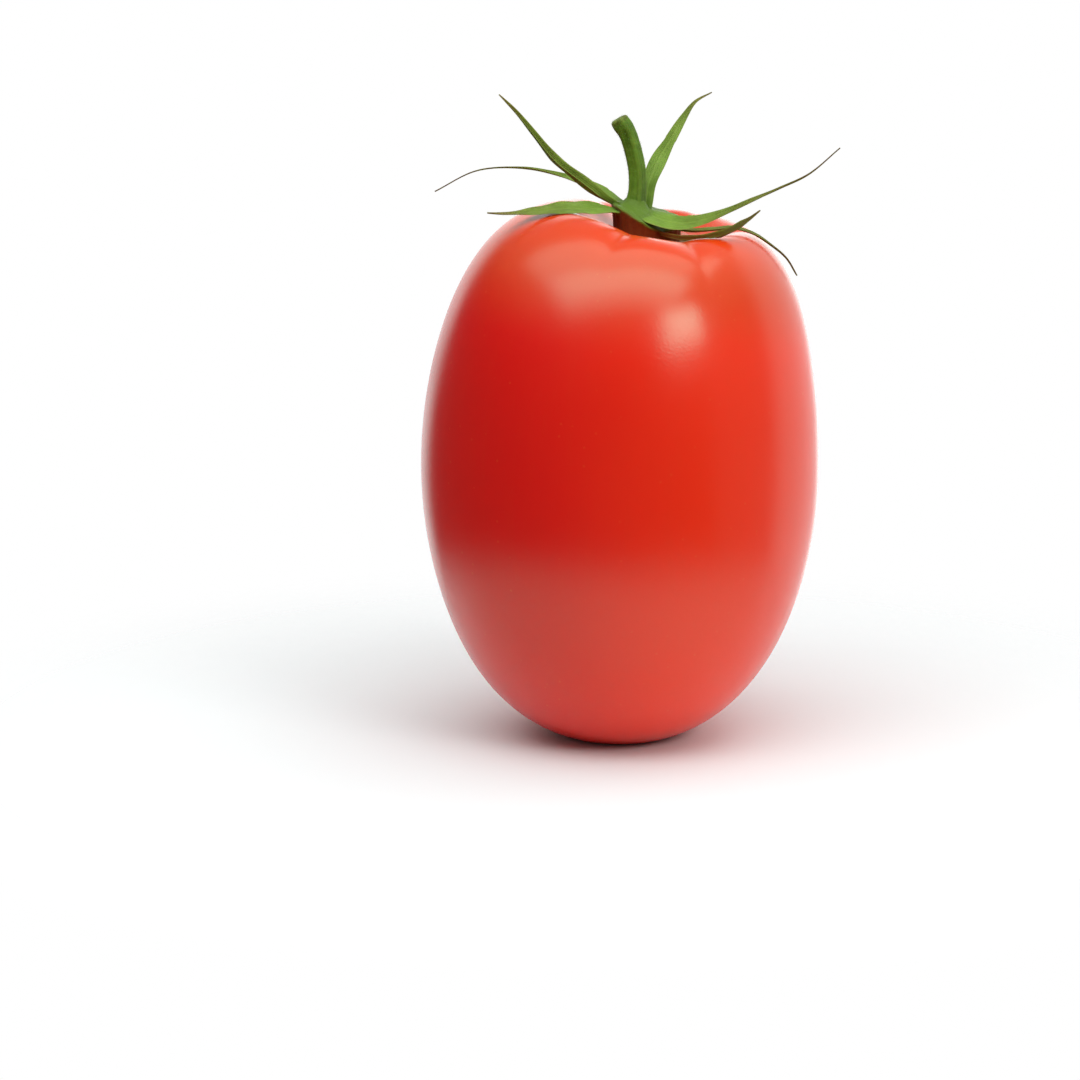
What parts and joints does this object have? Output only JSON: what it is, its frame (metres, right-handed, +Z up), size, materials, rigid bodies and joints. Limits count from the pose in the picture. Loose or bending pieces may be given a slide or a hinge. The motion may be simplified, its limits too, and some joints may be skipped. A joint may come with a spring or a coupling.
{
  "type": "plum tomato",
  "caption": "Ripe plum tomato standing on its blossom end, with its green calyx and a short piece of stem",
  "frame": {"origin": "centre of the small flat spot on the blossom end that the tomato rests on", "axes": "+Z up along the fruit from the resting spot to the calyx; -Y the side seen from the front, with the crown leaning to +X"},
  "size_m": [0.0558, 0.0538, 0.0879],
  "materials": {
    "skin": "soft gloss",
    "calyx_green": "matte, finely hairy",
    "stem_green": "matte, finely hairy"
  },
  "bodies": {
    "root": {"fruit": "skin", "calyx": "calyx_green", "stem": "stem_green"}
  },
  "joints": []
}
